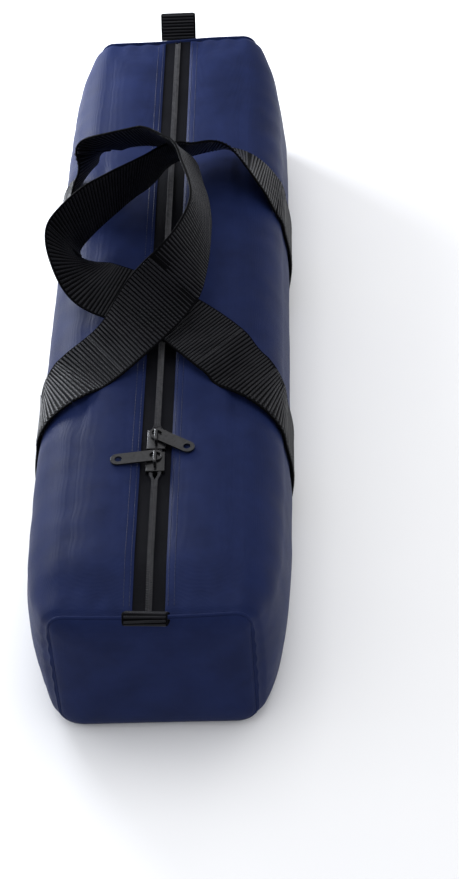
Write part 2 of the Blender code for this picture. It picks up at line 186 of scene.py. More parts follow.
def woven(add, place, pitch):
    """Two crossed waves whose product rises and falls like over-and-under threads."""
    rate = 0.314 / pitch
    waves = [
        add("ShaderNodeTexWave", [("Vector", place)], bands_direction=axis, Scale=rate, Distortion=0.4, Detail=1.0)
        for axis in "XYZ"
    ]
    first = add("ShaderNodeMath", [(0, waves[0].outputs["Fac"]), (1, waves[1].outputs["Fac"])], operation="MULTIPLY")
    return add("ShaderNodeMath", [(0, first.outputs[0]), (1, waves[2].outputs["Fac"])], operation="ADD").outputs[0]


def add_bump(tree, shader, add, heights):
    """Stacks bumps, each (height socket, strength, distance), into the shader's normal."""
    under = None
    for height, strength, distance in heights:
        links = [("Height", height)] + ([("Normal", under)] if under else [])
        under = add("ShaderNodeBump", links, Strength=strength, Distance=distance).outputs["Normal"]
    tree.links.new(under, shader.inputs["Normal"])


def cloth_like(
    name, dark, light, rough, weave, weave_depth,
    sheen=0.0, tint=(1, 1, 1), sheen_rough=0.3, crumple=0.0006, gloss=0.1,
):
    """A woven finish: mottled colour, a weave, a slow crumple and a sheen."""
    material, tree, shader, add = blank_material(name)
    place = add("ShaderNodeTexCoord").outputs["Object"]
    color, cloud = mottled(add, place, dark, light, 38.0)
    tree.links.new(color, shader.inputs["Base Color"])
    spread = add("ShaderNodeMapRange", [("Value", cloud)])
    spread.inputs["To Min"].default_value, spread.inputs["To Max"].default_value = rough - 0.07, rough + 0.07
    tree.links.new(spread.outputs["Result"], shader.inputs["Roughness"])
    fold = add("ShaderNodeTexNoise", [("Vector", place)], Scale=55.0, Detail=3.0)
    add_bump(tree, shader, add, [(fold.outputs["Fac"], 0.35, crumple), (woven(add, place, weave), 0.5, weave_depth)])
    shader.inputs["Sheen Weight"].default_value = sheen
    shader.inputs["Sheen Tint"].default_value = (*tint, 1)
    shader.inputs["Sheen Roughness"].default_value = sheen_rough
    shader.inputs["Specular IOR Level"].default_value = gloss
    return material


# %% [markdown]
# The outer cloth is a tightly woven nylon. Its nap catches light from the side, so it has a little sheen,
# tinted blue. Webbing is coarser and nearly black. Its core is painted darker still, as painted shade, so
# that the gaps between the ribs and the strap's edges read as shadow. The lining is a thin plain weave.

# %% Cloth, webbing, lining and tape
NAVY = cloth_like(
    "navy_nylon", (0.0070, 0.0118, 0.044), (0.0100, 0.0168, 0.062), 0.46, 0.0007, 0.00010,
    sheen=0.06, tint=(0.55, 0.62, 1.0), sheen_rough=0.25, gloss=0.04,
)
WEBBING = cloth_like(
    "black_webbing", (0.0060, 0.0062, 0.0080), (0.0115, 0.0118, 0.0145), 0.33, 0.0014, 0.00030,
    sheen=0.01, tint=(0.8, 0.8, 1.0), crumple=0.0002, gloss=0.10,
)
# Painted shade: the core is coloured near black so that the gaps between the ribs and the strap's edges look shaded.
WEBBING_CORE_PAINTED_SHADE = cloth_like(
    "webbing_core_painted_shade", (0.0010, 0.0010, 0.0014), (0.0018, 0.0018, 0.0024), 0.6, 0.0014, 0.00020, gloss=0.02
)
LINING = cloth_like(
    "black_lining", (0.008, 0.008, 0.010), (0.012, 0.012, 0.015), 0.6, 0.0012, 0.00010, sheen=0.04
)
TAPE = cloth_like(
    "zip_tape_cloth", (0.0030, 0.0031, 0.0046), (0.0050, 0.0052, 0.0072), 0.5, 0.0008, 0.00012,
    sheen=0.01, tint=(0.6, 0.65, 1.0), gloss=0.03,
)
THREAD = cloth_like(
    "navy_thread", (0.007, 0.010, 0.034), (0.013, 0.018, 0.055), 0.45, 0.0004, 0.00005, sheen=0.05, gloss=0.2
)
BLACK_THREAD = cloth_like(
    "black_thread", (0.006, 0.006, 0.007), (0.011, 0.011, 0.013), 0.45, 0.0004, 0.00005, sheen=0.03, gloss=0.2
)
print("woven finishes:", len(bpy.data.materials))

# %% [markdown]
# The sliders and pulls are zinc castings under black lacquer. Lacquer is a clear coat over a dark metal,
# and handling wears it thin in patches. The zip coil is moulded black nylon, coloured a dark grey beside
# the black tape as a painted highlight on its teeth.

# %% Lacquered metal, nylon coil and floor


def lacquer():
    material, tree, shader, add = blank_material("black_lacquer")
    place = add("ShaderNodeTexCoord").outputs["Object"]
    color, wear = mottled(add, place, (0.004, 0.004, 0.005), (0.015, 0.015, 0.017), 420.0)
    tree.links.new(color, shader.inputs["Base Color"])
    shine = add("ShaderNodeMapRange", [("Value", wear)])
    shine.inputs["To Min"].default_value, shine.inputs["To Max"].default_value = 0.20, 0.42
    tree.links.new(shine.outputs["Result"], shader.inputs["Roughness"])
    grit = add("ShaderNodeTexNoise", [("Vector", place)], Scale=1800.0, Detail=2.0)
    add_bump(tree, shader, add, [(grit.outputs["Fac"], 0.2, 0.00006)])
    shader.inputs["Metallic"].default_value = 0.65
    shader.inputs["Coat Weight"].default_value = 0.5
    shader.inputs["Coat Roughness"].default_value = 0.06
    return material


def nylon():
    material, tree, shader, add = blank_material("black_nylon_coil")
    place = add("ShaderNodeTexCoord").outputs["Object"]
    # Painted highlight: the black nylon is coloured dark grey, lighter than it is, so the teeth read as glinting.
    color, cloud = mottled(add, place, (0.055, 0.055, 0.060), (0.120, 0.120, 0.130), 300.0)
    tree.links.new(color, shader.inputs["Base Color"])
    shine = add("ShaderNodeMapRange", [("Value", cloud)])
    shine.inputs["To Min"].default_value, shine.inputs["To Max"].default_value = 0.25, 0.40
    tree.links.new(shine.outputs["Result"], shader.inputs["Roughness"])
    return material


def paper_floor():
    material, tree, shader, add = blank_material("pale_floor")
    place = add("ShaderNodeTexCoord").outputs["Object"]
    color, _ = mottled(add, place, (0.86, 0.86, 0.875), (0.90, 0.90, 0.91), 1.5)
    tree.links.new(color, shader.inputs["Base Color"])
    shader.inputs["Roughness"].default_value = 0.8
    return material


METAL, COIL = lacquer(), nylon()
floor.data.materials.append(paper_floor())
print("all finishes:", len(bpy.data.materials))

# %% [markdown]
# ## Mesh helpers
# Most pieces here are lofts: a ring of points, repeated along the piece and joined to the next ring.

# %% Mesh helpers


def link(name, mesh, materials):
    """Turns a bmesh into an object at the origin, with faces pointing out."""
    bmesh.ops.recalc_face_normals(mesh, faces=mesh.faces)
    data = bpy.data.meshes.new(name)
    mesh.to_mesh(data)
    mesh.free()
    for material in materials:
        data.materials.append(material)
    data.shade_smooth()
    data.set_sharp_from_angle(angle=math.radians(50))
    thing = bpy.data.objects.new(name, data)
    bpy.context.scene.collection.objects.link(thing)
    return thing


def loft(rings, closed=False, caps=True, slot_of=None):
    """A mesh through rings of points. slot_of(i) gives the material slot of the faces after point i."""
    mesh = bmesh.new()
    made = [[mesh.verts.new(p) for p in ring] for ring in rings]
    count = len(made[0])
    pairs = list(zip(made, made[1:])) + ([(made[-1], made[0])] if closed else [])
    for here, there in pairs:
        for i in range(count):
            j = (i + 1) % count
            face = mesh.faces.new((here[i], here[j], there[j], there[i]))
            if slot_of:
                face.material_index = slot_of(i)
    if caps and not closed:
        mesh.faces.new(made[0])
        mesh.faces.new(list(reversed(made[-1])))
    return mesh


def ease(t):
    """Smooth step from 0 to 1."""
    t = min(1.0, max(0.0, t))
    return t * t * (3 - 2 * t)


def follow_lid(thing):
    """Bakes a piece's transform into its mesh; the piece does not bend with the top."""
    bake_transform(thing)


# %% [markdown]
# ## Section of the case
# The section is a box with round shoulders and tighter lower corners. It is widest in the middle of the
# case and narrows towards the end panels, as a sewn tube does when its ends are flat. The same function
# gives the outer cloth and, at a depth, the lining.

# %% Section


def bulge(y):
    return 1 - min(1.0, abs(y / END_Y)) ** 10


def half_width(y):
    return END_HALF + (MID_HALF - END_HALF) * bulge(y)


def base_height(y):
    """The base steps up a little where a girth strap passes under it."""
    off = abs(abs(y) - GIRTH_Y)
    return 0.0023 * (1 - ease((off - 0.032) / 0.008))


def settled(x, y, z):
    """The near end sags: its top sinks and its foot pushes out. The far right corner stands up a little."""
    high = ease((z - 0.05) / 0.06)
    near = ease((-y - (END_Y - 0.06)) / 0.06)
    sink = 0.0070 * near * (1 - (x / 0.115) ** 2)
    rise = 0.0030 * ease((y - 0.22) / 0.12) * ease((x + 0.03) / 0.07)
    return (x, y - 0.0045 * near * (1 - ease(z / 0.11)), max(0.0, z + (rise - sink) * high))


def turned(centre, radius, start, end, steps):
    angles = [math.radians(start + (end - start) * i / steps) for i in range(steps + 1)]
    return [(centre[0] + radius * math.cos(a), centre[1] + radius * math.sin(a)) for a in angles]


def under_top(y, depth):
    """Right half of the section below the fold line: shoulder, side, lower corner and base."""
    half, base = half_width(y), base_height(y)
    radius = half - FOLD_X
    shoulder = turned((FOLD_X, TOP_Z - radius), radius - depth, 90, 0, 12)
    corner = turned((half - LOW_RADIUS, base + LOW_RADIUS), LOW_RADIUS - depth, 0, -90, 8)
    head, foot = shoulder[-1], corner[0]
    side = []
    for i in range(1, 12):
        t = i / 12
        bow = SIDE_BOW * bulge(y) * math.sin(math.pi * t)
        side.append((head[0] + (foot[0] - head[0]) * t + bow, head[1] + (foot[1] - head[1]) * t))
    flat = [(corner[-1][0] * (1 - i / 8), corner[-1][1]) for i in range(1, 8)] + [(0.0001, corner[-1][1])]
    return shoulder + side + corner + flat


def outer_top(y):
    """Top of the right half from the zip edge to the fold line: rolled edge, then a low crown of padding."""
    crown = 0.0026 * ease((END_Y - abs(y)) / 0.05)
    rolled = ((0.0, TAPE_TOP + 0.0001), (-0.0004, TAPE_TOP + 0.0008), (0.0003, TOP_Z - 0.0001))
    points = [(ZIP_EDGE_X + out, z) for out, z in rolled]
    for i in range(1, 14):
        t = i / 14
        points.append((ZIP_EDGE_X + 0.0003 + (FOLD_X - ZIP_EDGE_X) * t, TOP_Z + crown * math.sin(math.pi * t) ** 0.8))
    return points


def inner_top():
    """Lining of the top, from the fold line to the zip edge, where the wall thins down to the tape."""
    low = TOP_Z - WALL
    flat = [(0.052, low), (0.044, low), (0.036, low)]
    thinning = [(0.030, low + 0.0004), (0.026, low + 0.0026), (0.0220, low + 0.0060)]
    return flat + thinning + [(0.0175, 0.1168), (ZIP_EDGE_X, 0.1172)]


print("half width at the middle and the end:", round(half_width(0), 4), round(half_width(END_Y), 4))

# %% [markdown]
# ## Padded wall
# Each long half of the case is one padded piece: half of the base, a side, the shoulder and half of the
# top, with no seam at the fold, because on the real case one length of cloth wraps round. Its outer skin
# is moved in and out by slow noise, so that it looks filled with foam and handled, and it is pulled in
# where webbing is sewn over it.

# %% Left and right walls
SLOW, FINE = 9.0, 34.0


def puffed(x, y, z, middle_x):
    """Moves an outer point out or in, away from the middle of the section."""
    if z < 0.012:
        return (x, y, z)
    out = Vector((x - middle_x * 0.4, 0, z - 0.06)).normalized()
    wave = 0.0011 * noise.noise(Vector((x, y, z)) * SLOW) + 0.0005 * noise.noise(Vector((x, y * 1.5, z)) * FINE)
    strap = max(0.0, 1 - abs(abs(y) - GIRTH_Y) / 0.045)
    press = 0.0012 * ease(strap * 1.6) if abs(x) > FOLD_X - 0.004 else 0.0
    high = ease((z - 0.012) / 0.02)
    drift = 3 * noise.noise(Vector((x, z, y)) * 20)
    pucker = ease((abs(y) - (END_Y - 0.035)) / 0.025) * 0.0006 * math.sin(330 * (x + 1.2 * z) + drift)
    move = out * ((wave * (1 - ease(strap * 1.8)) - press + pucker) * high)
    return (x + move.x, y, z + move.z)


def wall_ring(y, sign):
    seam = ease((END_Y - 0.0045 - abs(y)) / 0.007)
    outer = [(x, z) for x, z in outer_top(y) + under_top(y, 0.0)]
    ring = []
    for x, z in outer:
        px, _, pz = puffed(x, y, z, x)
        pull = 0.0018 * (1 - seam)
        centre = Vector((0.0, 0.06))
        inward = (centre - Vector((px, pz))).normalized() * pull
        ring.append(settled(sign * max(0.0001, px + inward.x), y, max(0.0, pz + inward.y)))
    inner = inner_top()[::-1] + under_top(y, WALL)
    ring += [settled(sign * x, y, z) for x, z in reversed(inner)]
    return ring


def wall_places():
    reach = END_Y - 0.0035
    edges = [reach - 0.0015 * k for k in range(6)]
    inside = [-(reach - 0.009) + (2 * (reach - 0.009)) * i / 150 for i in range(1, 150)]
    return sorted({round(v, 6) for e in edges for v in (e, -e)} | {round(v, 6) for v in inside})


outer_count = len(outer_top(0)) + len(under_top(0, 0.0))
for side, sign in (("left", -1), ("right", 1)):
    mesh = loft([wall_ring(y, sign) for y in wall_places()], slot_of=lambda i: 0 if i < outer_count - 1 else 1)
    wall = link(f"{side}_padded_wall", mesh, [NAVY, LINING])
    follow_lid(wall)
    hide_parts(f"{side}_side_cloth", f"{side}_side_foam", f"{side}_lid_cloth", f"{side}_lid_foam", f"{side}_lid_lining")
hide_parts("base_cloth", "base_foam")
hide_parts("body_lining")

# %% [markdown]
# ## End panels
# A rounded panel of the same padded cloth closes each end. The seam round it is turned in and covers a
# thin piping, and the foam pushes the middle of the panel out a few millimetres.

# %% End panels and piping


def full_outline(y, depth):
    """Whole closed outline of the section at y, once round."""
    top = [(FOLD_X * (i / 6), TOP_Z - depth) for i in range(0, 6)]
    right = [p for p in top] + under_top(y, depth)[:-1] + [(0.0, base_height(y) + depth)]
    left = [(-x, z) for x, z in right[1:-1]]
    return right + list(reversed(left))


PANEL_PUFF = (
    (1.0, 0.0060), (0.999, 0.0035), (0.985, 0.0018), (0.96, 0.0008), (0.92, -0.0004),
    (0.85, -0.0018), (0.72, -0.0031), (0.5, -0.0042), (0.25, -0.0047), (0.02, -0.0048),
)


def end_panel(label, sign):
    """A padded panel: rings that shrink from the rim to the middle and step out, as PANEL_PUFF says."""
    centre = Vector((0, 0.058))
    rim = [Vector(p) for p in full_outline(END_Y, 0.0012)]
    inside = [Vector(p) for p in full_outline(END_Y, WALL - 0.0004)]
    rings = []
    for s in (0.02, 0.5, 1.0):
        shrunk = [(centre.x + (p.x - centre.x) * s, centre.y + (p.y - centre.y) * s) for p in inside]
        rings.append([settled(x, sign * (END_Y - WALL), z) for x, z in shrunk])
    for share, back in PANEL_PUFF:
        ring = []
        for p in rim:
            x, z = centre.x + (p.x - centre.x) * share, centre.y + (p.y - centre.y) * share
            soft = 0.0006 * noise.noise(Vector((x, sign * 3, z)) * 30) * (1 - share)
            ring.append(settled(x, sign * (END_Y - back + soft), max(0.0003, z)))
        rings.append(ring)
    panel = link(f"{label}_end_panel", loft(rings), [NAVY, LINING])
    for face in panel.data.polygons:
        if abs(face.center.y) < END_Y - WALL + 0.0002 or face.normal.y * sign < -0.9:
            face.material_index = 1
    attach(panel, "case")
    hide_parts(f"{label}_end_cloth", f"{label}_end_foam", f"{label}_end_lining")


def tube_round(name, line, radius, material, sides=8):
    """A tube along a closed line of points that lie in one plane across Y."""
    rings = []
    count = len(line)
    for i, p in enumerate(line):
        ahead = (line[(i + 1) % count] - line[i - 1]).normalized()
        out = ahead.cross(Vector((0, 1, 0))).normalized()
        ring = []
        for k in range(sides):
            a = 2 * math.pi * k / sides
            ring.append(p + out * (radius * math.cos(a)) + Vector((0, radius * math.sin(a), 0)))
        rings.append(ring)
    return link(name, loft(rings, closed=True), [material])


for label, sign in (("near", -1), ("far", 1)):
    end_panel(label, sign)
    line = [Vector(settled(x, sign * (END_Y - 0.0042), max(z, 0.0015))) for x, z in full_outline(END_Y, 0.0012)]
    piping = tube_round(f"{label}_end_piping", line, 0.0013, NAVY)
    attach(piping, "case")
print("end panels puff out", -PANEL_PUFF[-1][1], "m")

# %% [markdown]
# ## Copies along a path
# Stitches, webbing ribs and zip teeth are one small shape repeated at an even pitch, so Geometry Nodes
# place them. A path is a line of points, and each point carries the direction ahead and the direction
# across as attributes. The tree turns a short bar to match them and puts one at every point.

# %% Geometry Nodes tree for repeated bars


def bar_tree():
    """Puts a bar at each point, lying along the point's own directions. Sizes are inputs."""
    tree = bpy.data.node_groups.new("bars_along_a_path", "GeometryNodeTree")
    face = tree.interface
    face.new_socket("Geometry", in_out="OUTPUT", socket_type="NodeSocketGeometry")
    face.new_socket("Geometry", in_out="INPUT", socket_type="NodeSocketGeometry")
    for name, value in (("Length", 0.002), ("Width", 0.001), ("Height", 0.001), ("Slant", 0.0)):
        face.new_socket(name, in_out="INPUT", socket_type="NodeSocketFloat").default_value = value
    face.new_socket("Sides", in_out="INPUT", socket_type="NodeSocketInt").default_value = 8
    face.new_socket("Material", in_out="INPUT", socket_type="NodeSocketMaterial")
    nodes, wire = tree.nodes, tree.links.new
    given, result = nodes.new("NodeGroupInput"), nodes.new("NodeGroupOutput")
    bar = nodes.new("GeometryNodeMeshCylinder")
    bar.fill_type = "NGON"
    bar.inputs["Radius"].default_value = 0.5
    bar.inputs["Depth"].default_value = 1.0
    wire(given.outputs["Sides"], bar.inputs["Vertices"])
    directions = []
    for label in ("ahead", "across"):
        read = nodes.new("GeometryNodeInputNamedAttribute")
        read.data_type = "FLOAT_VECTOR"
        read.inputs["Name"].default_value = label
        directions.append(read.outputs["Attribute"])
    lie = nodes.new("FunctionNodeAlignRotationToVector")
    lie.axis = "Z"
    wire(directions[1], lie.inputs["Vector"])
    face_ahead = nodes.new("FunctionNodeAlignRotationToVector")
    face_ahead.axis, face_ahead.pivot_axis = "X", "Z"
    wire(lie.outputs["Rotation"], face_ahead.inputs["Rotation"])
    wire(directions[0], face_ahead.inputs["Vector"])
    slant = nodes.new("FunctionNodeRotateRotation")
    slant.rotation_space = "LOCAL"
    lean = nodes.new("ShaderNodeCombineXYZ")
    wire(given.outputs["Slant"], lean.inputs["Y"])
    as_turn = nodes.new("FunctionNodeEulerToRotation")
    wire(lean.outputs["Vector"], as_turn.inputs["Euler"])
    wire(face_ahead.outputs["Rotation"], slant.inputs["Rotation"])
    wire(as_turn.outputs["Rotation"], slant.inputs["Rotate By"])
    size = nodes.new("ShaderNodeCombineXYZ")
    for axis, label in (("X", "Length"), ("Y", "Height"), ("Z", "Width")):
        wire(given.outputs[label], size.inputs[axis])
    place = nodes.new("GeometryNodeInstanceOnPoints")
    wire(given.outputs["Geometry"], place.inputs["Points"])
    wire(bar.outputs["Mesh"], place.inputs["Instance"])
    wire(slant.outputs["Rotation"], place.inputs["Rotation"])
    wire(size.outputs["Vector"], place.inputs["Scale"])
    real = nodes.new("GeometryNodeRealizeInstances")
    wire(place.outputs["Instances"], real.inputs["Geometry"])
    paint = nodes.new("GeometryNodeSetMaterial")
    wire(real.outputs["Geometry"], paint.inputs["Geometry"])
    wire(given.outputs["Material"], paint.inputs["Material"])
    wire(paint.outputs["Geometry"], result.inputs["Geometry"])
    return tree


BARS = bar_tree()


def bars(name, places, material, **sizes):
    """Runs the tree on (point, ahead, across) places and returns the result as a plain mesh object."""
    data = bpy.data.meshes.new(name)
    data.from_pydata([p for p, _, _ in places], [], [])
    for label, index in (("ahead", 1), ("across", 2)):
        layer = data.attributes.new(label, "FLOAT_VECTOR", "POINT")
        layer.data.foreach_set("vector", [c for place in places for c in place[index]])
    thing = bpy.data.objects.new(name, data)
    bpy.context.scene.collection.objects.link(thing)
    run = thing.modifiers.new("bars", "NODES")
    run.node_group = BARS
    sockets = {s.name: s.identifier for s in BARS.interface.items_tree if s.in_out == "INPUT"}
    run[sockets["Material"]] = material
    for label, value in sizes.items():
        run[sockets[label.capitalize()]] = value
    bpy.context.view_layer.update()
    done = bpy.data.meshes.new_from_object(thing.evaluated_get(bpy.context.evaluated_depsgraph_get()))
    thing.modifiers.clear()
    thing.data = done
    done.shade_smooth()
    done.set_sharp_from_angle(angle=math.radians(60))
    return thing


def paced(line, pitch, start=0.5):
    """Points at an even pitch along a line, each with the unit direction ahead."""
    found, want, gone = [], pitch * start, 0.0
    for a, b in zip(line, line[1:]):
        span = (b - a).length
        while span > 0 and want <= gone + span:
            found.append((a.lerp(b, (want - gone) / span), (b - a).normalized()))
            want += pitch
        gone += span
    return found


def stitches(name, lines, pitch, length, thick, material, up=Vector((0, 0, 1))):
    """Rows of thread: short bars that lie along each line, with a gap between them."""
    places = []
    for line in lines:
        for point, ahead in paced(line, pitch):
            steep = abs(ahead.dot(up)) > 0.99
            places.append((point, Vector((1, 0, 0)) if steep else ahead.cross(up).cross(ahead).normalized(), ahead))
    return bars(name, places, material, length=thick, width=length, height=thick, sides=6)


def join_into(main, extras):
    """Joins plain mesh pieces into one object."""
    with bpy.context.temp_override(active_object=main, selected_editable_objects=[main, *extras]):
        bpy.ops.object.join()
    return main


print("tree nodes:", len(BARS.nodes))

# %% [markdown]
# ## Webbing
# Heavy polypropylene webbing is woven with ribs that run across it, about three millimetres apart, and
# has a firm rounded edge. A thin core gives the strap its body and its edges, and one flattened bar for
# each rib gives both faces their relief. The same function makes the girth straps, handles and tabs.

# %% Webbing
RIB_PITCH = 0.0029
RIB_FILL = 0.76


def smooth_line(points, steps, before=None, after=None):
    """Catmull-Rom curve through the points. The two extra points only set the direction at the ends."""
    before = before or points[0] * 2 - points[1]
    after = after or points[-1] * 2 - points[-2]
    ends = [before, *points, after]
    line = []
    for a, b, c, d in zip(ends, ends[1:], ends[2:], ends[3:]):
        for i in range(steps):
            t = i / steps
            bend, twist = 2 * a - 5 * b + 4 * c - d, 3 * b - a - 3 * c + d
            line.append(0.5 * (2 * b + (c - a) * t + bend * t**2 + twist * t**3))
    return [*line, points[-1]]


def evenly(line, wide, gap):
    """The same curve with points at an even gap, and the width direction carried along."""
    gone = [0.0]
    for a, b in zip(line, line[1:]):
        gone.append(gone[-1] + (b - a).length)
    count = max(4, round(gone[-1] / gap))
    places, k = [], 0
    for i in range(count + 1):
        want = gone[-1] * i / count
        while k < len(gone) - 2 and gone[k + 1] < want:
            k += 1
        share = (want - gone[k]) / max(1e-9, gone[k + 1] - gone[k])
        places.append((line[k].lerp(line[k + 1], share), wide[k].lerp(wide[k + 1], share)))
    return [p for p, _ in places], [w for _, w in places]


def strap_profile(width, thick):
    """Half-width and height pairs round the core: flat faces with rolled selvedges."""
    edge = width / 2
    core = thick * 0.30
    selvedge = [(edge - 0.0001, 0.0), (edge - 0.0005, core * 1.25), (edge - 0.0016, core * 1.35)]
    upper = selvedge + [(edge - 0.0026, core), (0.0, core)]
    above = upper + [(-a, b) for a, b in reversed(upper[:-1])]
    return above + [(-a, -b) for a, b in upper[1:-1]] + [(a, -b) for a, b in reversed(upper[1:])]


def strap_frames(centres, acrosses, gap, before=(None, None), after=(None, None)):
    """Even places along a strap: the centre, and the directions ahead, across and up."""
    line = smooth_line(centres, 8, before[0], after[0])
    wide = smooth_line(acrosses, 8, before[1], after[1])
    line, wide = evenly(line, wide, gap)
    frames = []
    for i, (p, w) in enumerate(zip(line, wide)):
        ahead = (line[min(i + 1, len(line) - 1)] - line[max(i - 1, 0)]).normalized()
        across = (w - ahead * w.dot(ahead) * 0.85).normalized()
        frames.append((p, ahead, across, across.cross(ahead).normalized()))
    return frames


def webbing(name, frames, width, thick):
    """A ribbed strap through its frames."""
    line = [f[0] for f in frames]
    profile = strap_profile(width, thick)
    rings = [[p + across * a + up * b for a, b in profile] for p, _, across, up in frames]
    # The core, coloured as painted shade, shows between the ribs and along the strap's edges.
    strap = link(name, loft(rings), [WEBBING_CORE_PAINTED_SHADE])
    places = []
    for point, ahead in paced(line, RIB_PITCH):
        across = frames[min(range(len(line)), key=lambda i: (line[i] - point).length)][2]
        places.append((point, (ahead - across * ahead.dot(across)).normalized(), across))
    sizes = {"length": RIB_PITCH * RIB_FILL, "width": width - 0.0030, "height": thick * 1.25, "sides": 10}
    join_into(strap, [bars(f"{name}_ribs", places, WEBBING, **sizes)])
    return strap


print("webbing profile points:", len(strap_profile(WEB_WIDTH, WEB_THICK)))

# %% [markdown]
# ## Girth straps
# Two bands of webbing go right round the case, under the base and up both sides, and are sewn down. They
# lie on the cloth, so their path is the section at that place, pushed out by half their thickness.

# %% Girth straps
SEWN_DEPTH = -(0.0003 + WEB_THICK / 2)
LEAN_RUN = 0.062
STRAP_RUNS = {"near": (-GIRTH_Y, 0.027, 0.027, 4), "far": (GIRTH_Y, -0.004, 0.010, 8)}


def half_run(label, sign):
    """Places down one half of a strap from the fold line to the middle of the base, with its width there.

    Over the shoulder the strap leans along the case, more and more towards the fold line.
    """
    y, left_lean, right_lean, _ = STRAP_RUNS[label]
    lean = left_lean if sign < 0 else right_lean
    half = [p for i, p in enumerate(under_top(y, SEWN_DEPTH)) if i % 2 == 0 or i < 13]
    gone, places = 0.0, []
    for i, (x, z) in enumerate(half):
        before, after = half[max(i - 1, 0)], half[min(i + 1, len(half) - 1)]
        down = Vector((sign * (after[0] - before[0]), 0, after[1] - before[1])).normalized()
        gone += math.dist(half[i], before)
        share = max(0.0, 1 - gone / LEAN_RUN)
        across = Vector((0, 1, 0)) + down * (2 * lean * share / LEAN_RUN)
        places.append((Vector((sign * x, y + lean * share**2, max(z, WEB_THICK / 2))), across.normalized()))
    return places


def girth(label):
    """One strap from the left shoulder down, under the base and up to the right shoulder."""
    first = STRAP_RUNS[label][3]
    places = half_run(label, -1)[first:] + half_run(label, 1)[first:][::-1]
    kept = [places[0]]
    for place in places[1:]:
        if (place[0] - kept[-1][0]).length > 0.0006:
            kept.append(place)
    frames = strap_frames([p for p, _ in kept], [w for _, w in kept], 0.0034)
    strap = webbing(f"{label}_girth_webbing", frames, WEB_WIDTH, WEB_THICK)
    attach(strap, "case")
    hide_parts(f"{label}_girth_strap")
    return [f[0] for f in frames], frames


girth_lines = {label: girth(label) for label in ("near", "far")}
near_line = girth_lines["near"][0]
print("girth strap length", round(sum((b - a).length for a, b in zip(near_line, near_line[1:])), 3))

# %% [markdown]
# The straps are sewn to the sides with a row of thread near each edge.

# %% Thread on the girth straps


def strap_rows(label):
    line, frames = girth_lines[label]
    rows = []
    for edge in (-1, 1):
        row = []
        for p, ahead, across, up in frames:
            outward = up if up.dot(p - Vector((0, p.y, 0.06))) > 0 else -up
            row.append(p + across * (edge * (WEB_WIDTH / 2 - 0.004)) + outward * (WEB_THICK / 2 + 0.0001))
        rows.append([q for q in row if q.z > 0.012])
    cut = []
    for row in rows:
        left, right = [q for q in row if q.x < 0], [q for q in row if q.x > 0]
        cut += [left, right]
    thread = stitches(f"{label}_girth_stitching", cut, 0.0042, 0.0030, 0.0006, BLACK_THREAD, Vector((0, 1, 0)))
    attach(thread, "case")


for label in ("near", "far"):
    strap_rows(label)

# %% [markdown]
# ## Handles
# From each shoulder the strap carries on as a limp loop. The left loop stands up and leans over the right
# one, which has flopped across the top. A loop like this has no rule, so its route is a short table of
# places and of the way its width points there, smoothed into one curve. Its two roots start exactly where
# the girth straps stop, so the webbing reads as one length.

# %% Handles
LEFT_HANDLE = (
    ((-0.0340, -0.0835, 0.1310), (0.42, -0.90, -0.12)),
    ((-0.0077, -0.0639, 0.1530), (0.59, -0.63, -0.51)),
    ((0.0163, -0.0451, 0.1720), (0.51, -0.17, -0.84)),
    ((0.0286, -0.0181, 0.1810), (0.38, 0.32, -0.87)),
    ((0.0327, 0.0142, 0.1860), (0.20, 0.55, -0.81)),
    ((0.0254, 0.0582, 0.1870), (0.17, 0.66, -0.73)),
    ((0.0137, 0.0922, 0.1880), (0.08, 0.73, -0.68)),
    ((-0.0119, 0.1143, 0.1850), (-0.05, 0.63, -0.78)),
    ((-0.0443, 0.1204, 0.1770), (-0.05, 0.62, -0.78)),
    ((-0.0617, 0.1258, 0.1640), (0.07, 0.60, -0.80)),
    ((-0.0690, 0.1225, 0.1460), (0.10, 0.76, -0.62)),
    ((-0.0770, 0.1235, 0.1300), (0.05, 0.92, -0.38)),
)
RIGHT_HANDLE = (
    ((0.0484, -0.0913, 0.1290), (-0.52, -0.85, -0.06)),
    ((0.0152, -0.0577, 0.1320), (-0.45, -0.89, -0.03)),
    ((-0.0209, -0.0348, 0.1345), (-0.60, -0.78, -0.12)),
    ((-0.0530, -0.0198, 0.1390), (-0.42, -0.90, -0.10)),
    ((-0.0729, 0.0007, 0.1460), (-0.29, -0.89, 0.36)),
    ((-0.0811, 0.0257, 0.1510), (-0.39, -0.44, 0.81)),
    ((-0.0657, 0.0484, 0.1580), (-0.16, -0.17, 0.97)),
    ((-0.0422, 0.0719, 0.1610), (-0.22, -0.43, 0.87)),
    ((-0.0180, 0.0976, 0.1600), (-0.16, -0.58, 0.80)),
    ((0.0063, 0.1312, 0.1520), (-0.10, -0.70, 0.70)),
    ((0.0293, 0.1441, 0.1500), (0.05, -0.68, 0.72)),
    ((0.0486, 0.1471, 0.1470), (0.02, -0.76, 0.64)),
    ((0.0680, 0.1430, 0.1345), (0.00, -0.92, 0.38)),
    ((0.0815, 0.1365, 0.1205), (0.00, -0.98, 0.17)),
)


def bends(thing, weight_at, line):
    """Bakes a strap's transform and finds each vertex's weight along its centre line; the weight is not applied, so the
    strap does not bend.
    """
    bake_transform(thing)
    gone = [0.0]
    for a, b in zip(line, line[1:]):
        gone.append(gone[-1] + (b - a).length)
    for vert in thing.data.vertices:
        near = min(range(len(line)), key=lambda i: (line[i] - vert.co).length_squared)
        weight_at(gone[near], gone[-1])


def lid_share(skip, s, total):
    """How far a root follows the lid: not at all over its sewn length, then all the way by its end."""
    return ease((s - skip) / (total - skip))


